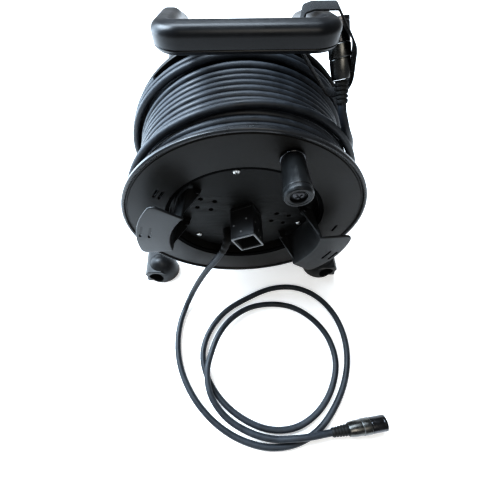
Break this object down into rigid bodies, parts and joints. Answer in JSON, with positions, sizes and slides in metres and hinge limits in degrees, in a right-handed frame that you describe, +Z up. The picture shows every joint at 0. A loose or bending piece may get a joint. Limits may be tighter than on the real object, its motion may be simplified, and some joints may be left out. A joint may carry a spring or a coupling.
{
  "type": "network cable reel",
  "caption": "Hand-cranked drum of data cable on a tubular stand with a carrying handle, fold-in winding hooks, a feed-through coupler and a patch lead.",
  "frame": {"origin": "on the floor, under the middle of the reel without its free cords", "axes": "+Z up, the drum's axis along Y, the connector side facing -Y, +X to the right seen from the front"},
  "size_m": [0.3706, 0.4697, 0.408],
  "materials": {
    "front_flange": "black, fine moulded texture",
    "rear_flange": "black, fine moulded texture",
    "drum_core": "black, fine moulded texture",
    "connector_plate": "black powder coat",
    "coupler_housing": "black, fine moulded texture",
    "coupler_jack": "black, fine moulded texture",
    "coupler_latch": "zinc plated",
    "lead_grommet": "matte",
    "knob_collar": "polished",
    "crank_knob": "smooth, satin",
    "knob_spindle": "zinc plated",
    "knob_end_screw": "zinc plated",
    "winding_hook_right": "black, fine moulded texture",
    "winding_hook_left": "black, fine moulded texture",
    "wound_cable": "matte jacket",
    "cable_pack": "matte jacket",
    "patch_lead": "matte jacket",
    "tail_cable": "matte jacket",
    "hub_bush_front": "natural nylon",
    "hub_bush_rear": "natural nylon",
    "stand_tube_left": "black powder coat",
    "stand_tube_right": "black powder coat",
    "front_foot_left": "black, fine moulded texture",
    "front_foot_right": "black, fine moulded texture",
    "rear_foot_left": "matte",
    "rear_foot_right": "matte",
    "cross_plate": "black powder coat",
    "axle": "zinc plated",
    "axle_nut": "zinc plated",
    "axle_clip": "zinc plated",
    "handle_upper_shell": "black, fine moulded texture",
    "handle_lower_shell": "black, fine moulded texture",
    "handle_socket_left": "black, fine moulded texture",
    "handle_socket_right": "black, fine moulded texture",
    "handle_screw_left": "zinc plated",
    "handle_screw_right": "zinc plated",
    "handle_strap": "woven hook-and-loop",
    "tie_post_1": "zinc plated",
    "plate_screw_1": "zinc plated",
    "tie_post_2": "zinc plated",
    "plate_screw_2": "zinc plated",
    "tie_post_3": "zinc plated",
    "plate_screw_3": "zinc plated",
    "hook_pin_right_upper": "zinc plated",
    "cross_bolt_right_upper": "zinc plated",
    "hook_pin_right_lower": "zinc plated",
    "cross_bolt_right_lower": "zinc plated",
    "hook_pin_left_upper": "zinc plated",
    "cross_bolt_left_upper": "zinc plated",
    "hook_pin_left_lower": "zinc plated",
    "cross_bolt_left_lower": "zinc plated",
    "lead_plug_boot": "matte, ribbed",
    "lead_plug_body": "black, satin",
    "lead_plug_barrel": "black nickel",
    "lead_plug_insert": "clear contact block",
    "tail_plug_boot": "matte, ribbed",
    "tail_plug_body": "black, satin",
    "tail_plug_barrel": "black nickel",
    "tail_plug_insert": "clear contact block"
  },
  "bodies": {
    "stand": {"tail_cable": "tail_cable", "stand_tube_left": "stand_tube_left", "stand_tube_right": "stand_tube_right", "front_foot_left": "front_foot_left", "front_foot_right": "front_foot_right", "rear_foot_left": "rear_foot_left", "rear_foot_right": "rear_foot_right", "cross_plate": "cross_plate", "axle": "axle", "axle_nut": "axle_nut", "axle_clip": "axle_clip", "handle_upper_shell": "handle_upper_shell", "handle_lower_shell": "handle_lower_shell", "handle_socket_left": "handle_socket_left", "handle_socket_right": "handle_socket_right", "handle_screw_left": "handle_screw_left", "handle_screw_right": "handle_screw_right", "handle_strap": "handle_strap", "cross_bolt_right_upper": "cross_bolt_right_upper", "cross_bolt_right_lower": "cross_bolt_right_lower", "cross_bolt_left_upper": "cross_bolt_left_upper", "cross_bolt_left_lower": "cross_bolt_left_lower", "tail_plug_boot": "tail_plug_boot", "tail_plug_body": "tail_plug_body", "tail_plug_barrel": "tail_plug_barrel", "tail_plug_insert": "tail_plug_insert"},
    "drum": {"front_flange": "front_flange", "rear_flange": "rear_flange", "drum_core": "drum_core", "connector_plate": "connector_plate", "coupler_housing": "coupler_housing", "coupler_jack": "coupler_jack", "lead_grommet": "lead_grommet", "knob_collar": "knob_collar", "knob_spindle": "knob_spindle", "wound_cable": "wound_cable", "cable_pack": "cable_pack", "patch_lead": "patch_lead", "hub_bush_front": "hub_bush_front", "hub_bush_rear": "hub_bush_rear", "tie_post_1": "tie_post_1", "plate_screw_1": "plate_screw_1", "tie_post_2": "tie_post_2", "plate_screw_2": "plate_screw_2", "tie_post_3": "tie_post_3", "plate_screw_3": "plate_screw_3", "hook_pin_right_upper": "hook_pin_right_upper", "hook_pin_right_lower": "hook_pin_right_lower", "hook_pin_left_upper": "hook_pin_left_upper", "hook_pin_left_lower": "hook_pin_left_lower", "lead_plug_boot": "lead_plug_boot", "lead_plug_body": "lead_plug_body", "lead_plug_barrel": "lead_plug_barrel", "lead_plug_insert": "lead_plug_insert", "knob_end_screw": "knob_end_screw"},
    "knob": {"crank_knob": "crank_knob"},
    "hook_right": {"winding_hook_right": "winding_hook_right"},
    "hook_left": {"winding_hook_left": "winding_hook_left"},
    "latch": {"coupler_latch": "coupler_latch"}
  },
  "joints": [
    {"name": "drum_spin", "type": "hinge", "parent": "stand", "child": "drum", "pos_m": [0, 0.0054, 0.1885], "axis": [0, 1, 0], "continuous": true, "deforming": ["tail_cable"]},
    {"name": "knob_spin", "type": "hinge", "parent": "drum", "child": "knob", "pos_m": [0.04581, -0.1046, 0.3048], "axis": [0, 1, 0], "continuous": true},
    {"name": "hook_right_fold", "type": "hinge", "parent": "drum", "child": "hook_right", "pos_m": [0.06819, -0.0686, 0.167], "axis": [-0.3007, 0, -0.9537], "range_deg": [0, 78]},
    {"name": "hook_left_fold", "type": "hinge", "parent": "drum", "child": "hook_left", "pos_m": [-0.06819, -0.0686, 0.21], "axis": [0.3007, 0, 0.9537], "range_deg": [0, 78]},
    {"name": "latch_press", "type": "slide", "parent": "drum", "child": "latch", "axis": [0.4384, 0, -0.8988], "range_m": [0, 0.0015], "stiffness_N_per_m": 250}
  ]
}
